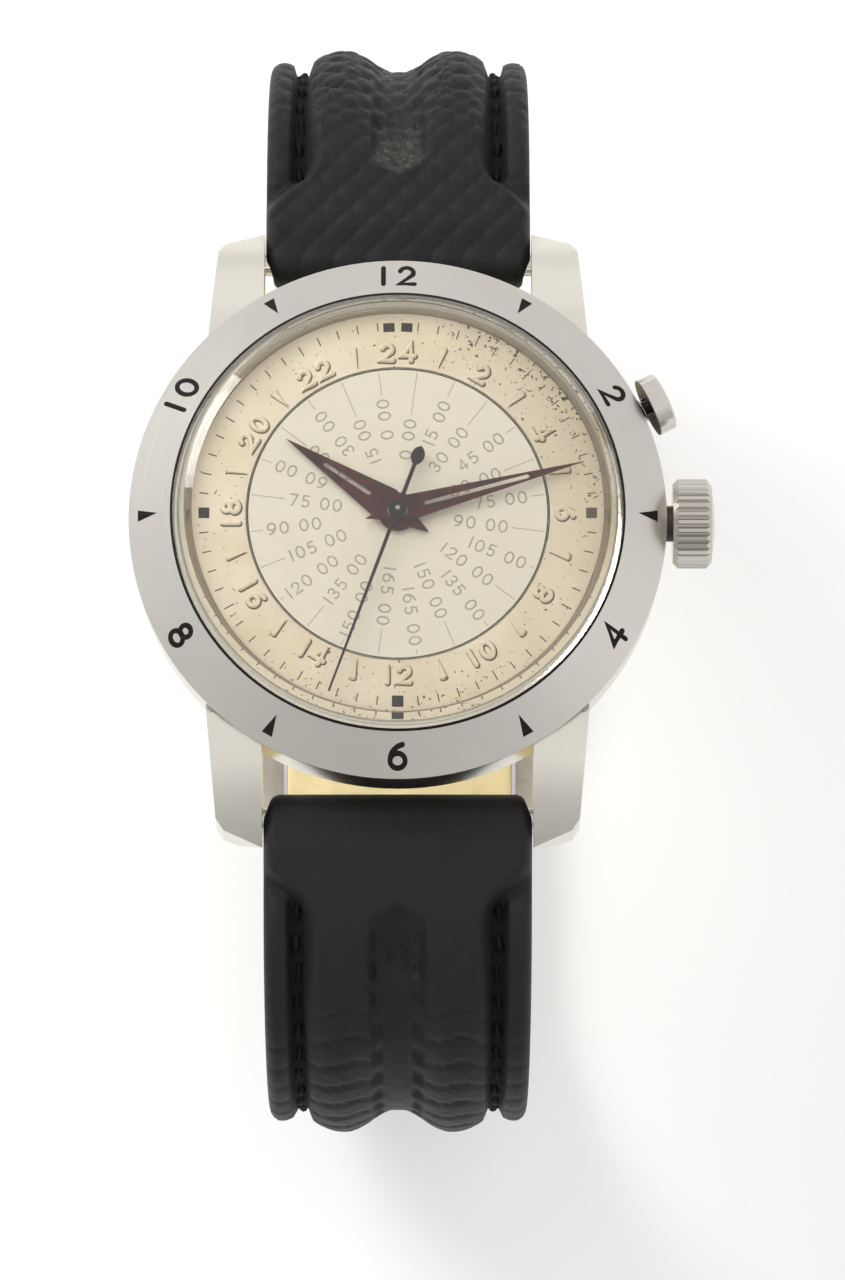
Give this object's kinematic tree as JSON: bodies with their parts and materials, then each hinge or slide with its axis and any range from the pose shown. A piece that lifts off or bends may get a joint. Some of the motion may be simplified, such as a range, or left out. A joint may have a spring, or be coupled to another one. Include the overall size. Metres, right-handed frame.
{
  "type": "world time wristwatch",
  "caption": "Round wristwatch with a fixed hour bezel, 24-hour dial, turning city disc, crown, corrector pusher and a padded strap buckled in a loop.",
  "frame": {"origin": "centre of the case back's outer flat face", "axes": "+Z out of the dial through the crystal, +Y towards 12 o'clock, +X towards the crown at 3 o'clock"},
  "size_m": [0.0393, 0.0756, 0.0569],
  "materials": {
    "brushed_steel_case": "brushed",
    "polished_steel": "polished",
    "acrylic_crystal": "clear",
    "cream_dial": "aged matt",
    "silver_disc": "satin",
    "hand_lacquer": "gloss",
    "black_steel": "satin",
    "rhodium_plate": "satin",
    "gear_brass": "satin",
    "gear_steel": "polished",
    "spring_steel": "blued",
    "ruby": "polished",
    "seal_rubber": "matt",
    "black_leather": "grained",
    "cream_lining": "smooth"
  },
  "bodies": {
    "case": {"mid_case": "brushed_steel_case", "bezel": "brushed_steel_case", "crystal": "acrylic_crystal", "reflector_ring": "polished_steel", "case_back": "brushed_steel_case", "case_back_gasket": "seal_rubber", "casing_ring": "rhodium_plate", "crown_tube": "polished_steel", "pusher_tube": "polished_steel", "pusher_spring": "spring_steel", "dial": "cream_dial", "main_plate": "rhodium_plate", "train_bridge": "rhodium_plate", "barrel_bridge": "rhodium_plate", "balance_cock": "rhodium_plate", "weight_bridge": "rhodium_plate", "buffer_springs": "spring_steel", "jewels": "ruby", "bridge_screws": "gear_steel", "click": "gear_steel", "hairspring": "spring_steel", "lug_spring_bars": "polished_steel", "strap_short_cover": "black_leather", "strap_long_cover": "black_leather", "strap_linings": "cream_lining", "fixed_keeper": "black_leather", "buckle_spring_bar": "polished_steel"},
    "minute": {"cannon_pinion": "gear_steel", "minute_hand": "hand_lacquer"},
    "minute_wheel": {"minute_wheel": "gear_brass"},
    "hour": {"hour_wheel": "gear_brass", "hour_hand": "hand_lacquer"},
    "transfer_wheel": {"transfer_wheel": "gear_brass"},
    "city_disc": {"city_disc": "silver_disc"},
    "setting_wheel": {"setting_wheel": "gear_steel"},
    "fourth_wheel": {"fourth_wheel": "gear_brass"},
    "seconds": {"sweep_pinion": "gear_steel", "seconds_hand": "black_steel"},
    "third_wheel": {"third_wheel": "gear_brass"},
    "centre_wheel": {"centre_wheel": "gear_brass"},
    "barrel": {"barrel_drum": "gear_brass"},
    "escape_wheel": {"escape_wheel": "gear_steel"},
    "pallet_fork": {"pallet_fork": "gear_steel"},
    "balance": {"balance_wheel": "gear_brass"},
    "winding_pinion": {"winding_pinion": "gear_steel"},
    "crown": {"crown": "polished_steel", "crown_gasket": "seal_rubber", "winding_stem": "gear_steel"},
    "sliding_pinion": {"sliding_pinion": "gear_steel"},
    "crown_wheel": {"crown_wheel": "gear_steel"},
    "barrel_arbor": {"barrel_arbor": "gear_steel", "ratchet_wheel": "gear_steel", "mainspring": "spring_steel"},
    "setting_lever": {"setting_lever": "gear_steel"},
    "pusher": {"pusher_button": "polished_steel"},
    "corrector_lever": {"corrector_lever": "gear_steel"},
    "oscillating_weight": {"oscillating_weight": "gear_brass"},
    "buckle_frame": {"buckle_frame": "polished_steel"},
    "buckle_tang": {"buckle_tang": "polished_steel"},
    "free_keeper": {"free_keeper": "black_leather"}
  },
  "joints": [
    {"name": "minute_turn", "type": "hinge", "parent": "case", "child": "minute", "pos_m": [0, 0, 0], "axis": [0, 0, -1], "continuous": true},
    {"name": "minute_wheel_turn", "type": "hinge", "parent": "case", "child": "minute_wheel", "pos_m": [0.00326, -0.00152, 0], "axis": [0, 0, -1], "continuous": true},
    {"name": "hour_turn", "type": "hinge", "parent": "case", "child": "hour", "pos_m": [0, 0, 0], "axis": [0, 0, -1], "continuous": true},
    {"name": "transfer_wheel_turn", "type": "hinge", "parent": "case", "child": "transfer_wheel", "pos_m": [-0.00152, 0.00326, 0], "axis": [0, 0, -1], "continuous": true},
    {"name": "city_disc_turn", "type": "hinge", "parent": "case", "child": "city_disc", "pos_m": [0, 0, 0], "axis": [0, 0, -1], "continuous": true},
    {"name": "setting_wheel_turn", "type": "hinge", "parent": "case", "child": "setting_wheel", "pos_m": [0.00685, 0, 0], "axis": [0, 0, -1], "continuous": true},
    {"name": "fourth_wheel_turn", "type": "hinge", "parent": "case", "child": "fourth_wheel", "pos_m": [-0.006, -0.00223, 0], "axis": [0, 0, -1], "continuous": true},
    {"name": "seconds_turn", "type": "hinge", "parent": "case", "child": "seconds", "pos_m": [0, 0, 0], "axis": [0, 0, -1], "continuous": true},
    {"name": "third_wheel_turn", "type": "hinge", "parent": "case", "child": "third_wheel", "pos_m": [-0.00468, 0.0027, 0], "axis": [0, 0, -1], "continuous": true},
    {"name": "centre_wheel_turn", "type": "hinge", "parent": "case", "child": "centre_wheel", "pos_m": [0, 0, 0], "axis": [0, 0, -1], "continuous": true},
    {"name": "barrel_turn", "type": "hinge", "parent": "case", "child": "barrel", "pos_m": [0.00315, -0.00546, 0], "axis": [0, 0, -1], "continuous": true},
    {"name": "escape_wheel_turn", "type": "hinge", "parent": "case", "child": "escape_wheel", "pos_m": [-0.00479, -0.00553, 0], "axis": [0, 0, -1], "continuous": true},
    {"name": "pallet_fork_rock", "type": "hinge", "parent": "case", "child": "pallet_fork", "pos_m": [-0.00712, -0.00486, 0], "axis": [0, 0, -1], "range_deg": [-3, 3]},
    {"name": "balance_swing", "type": "hinge", "parent": "case", "child": "balance", "pos_m": [-0.00941, -0.00419, 0], "axis": [0, 0, -1], "range_deg": [-270, 270], "stiffness_Nm_per_rad": 0.00001, "deforming": ["hairspring"]},
    {"name": "stem_turn", "type": "hinge", "parent": "case", "child": "winding_pinion", "pos_m": [0, 0, 0.0057], "axis": [1, 0, 0], "continuous": true},
    {"name": "crown_pull", "type": "slide", "parent": "winding_pinion", "child": "crown", "axis": [1, 0, 0], "range_m": [0, 0.001]},
    {"name": "sliding_pinion_shift", "type": "slide", "parent": "winding_pinion", "child": "sliding_pinion", "axis": [1, 0, 0], "range_m": [-0.0006, 0]},
    {"name": "crown_wheel_turn", "type": "hinge", "parent": "case", "child": "crown_wheel", "pos_m": [0.00885, 0, 0], "axis": [0, 0, 1], "continuous": true},
    {"name": "barrel_arbor_turn", "type": "hinge", "parent": "case", "child": "barrel_arbor", "pos_m": [0.00315, -0.00546, 0], "axis": [0, 0, 1], "continuous": true, "deforming": ["mainspring"]},
    {"name": "setting_lever_turn", "type": "hinge", "parent": "case", "child": "setting_lever", "pos_m": [0.01215, 0.0035, 0], "axis": [0, 0, 1], "range_deg": [0, 16.4]},
    {"name": "pusher_press", "type": "slide", "parent": "case", "child": "pusher", "axis": [-0.9011, -0.4337, 0], "range_m": [0, 0.0006], "stiffness_N_per_m": 400, "springref_m": -0.0005, "deforming": ["pusher_spring"]},
    {"name": "corrector_lever_turn", "type": "hinge", "parent": "case", "child": "corrector_lever", "pos_m": [0.00726, 0.00866, 0], "axis": [0, 0, 1], "range_deg": [-8, 0]},
    {"name": "weight_swing", "type": "hinge", "parent": "case", "child": "oscillating_weight", "pos_m": [0, 0, 0], "axis": [0, 0, -1], "range_deg": [-58, 58]},
    {"name": "buckle_frame_lift", "type": "hinge", "parent": "case", "child": "buckle_frame", "pos_m": [0, 0.0045, -0.04106], "axis": [1, 0, 0], "range_deg": [0, 4]},
    {"name": "tang_lift", "type": "hinge", "parent": "buckle_frame", "child": "buckle_tang", "pos_m": [0, 0.0045, -0.04106], "axis": [1, 0, 0], "range_deg": [0, 6]},
    {"name": "free_keeper_slide", "type": "slide", "parent": "case", "child": "free_keeper", "axis": [0, 1, 0], "range_m": [-0.0033, 0]}
  ],
  "couplings": [
    {"joint": "minute_wheel_turn", "follows": "minute_turn", "ratio": -0.33333},
    {"joint": "hour_turn", "follows": "minute_turn", "ratio": 0.083333},
    {"joint": "transfer_wheel_turn", "follows": "minute_turn", "ratio": -0.083333},
    {"joint": "city_disc_turn", "follows": "minute_turn", "ratio": 0.041667},
    {"joint": "setting_wheel_turn", "follows": "minute_turn", "ratio": 0.75},
    {"joint": "seconds_turn", "follows": "fourth_wheel_turn", "ratio": 1},
    {"joint": "third_wheel_turn", "follows": "fourth_wheel_turn", "ratio": -0.13333},
    {"joint": "centre_wheel_turn", "follows": "fourth_wheel_turn", "ratio": 0.016667},
    {"joint": "barrel_turn", "follows": "fourth_wheel_turn", "ratio": -0.0027778},
    {"joint": "escape_wheel_turn", "follows": "fourth_wheel_turn", "ratio": -10},
    {"joint": "crown_wheel_turn", "follows": "stem_turn", "ratio": 0.71429},
    {"joint": "barrel_arbor_turn", "follows": "stem_turn", "ratio": -0.42857},
    {"joint": "sliding_pinion_shift", "follows": "crown_pull", "ratio": -0.6},
    {"joint": "setting_lever_turn", "follows": "crown_pull", "rad_per_m": 285.71},
    {"joint": "corrector_lever_turn", "follows": "pusher_press", "rad_per_m": -215.05}
  ]
}
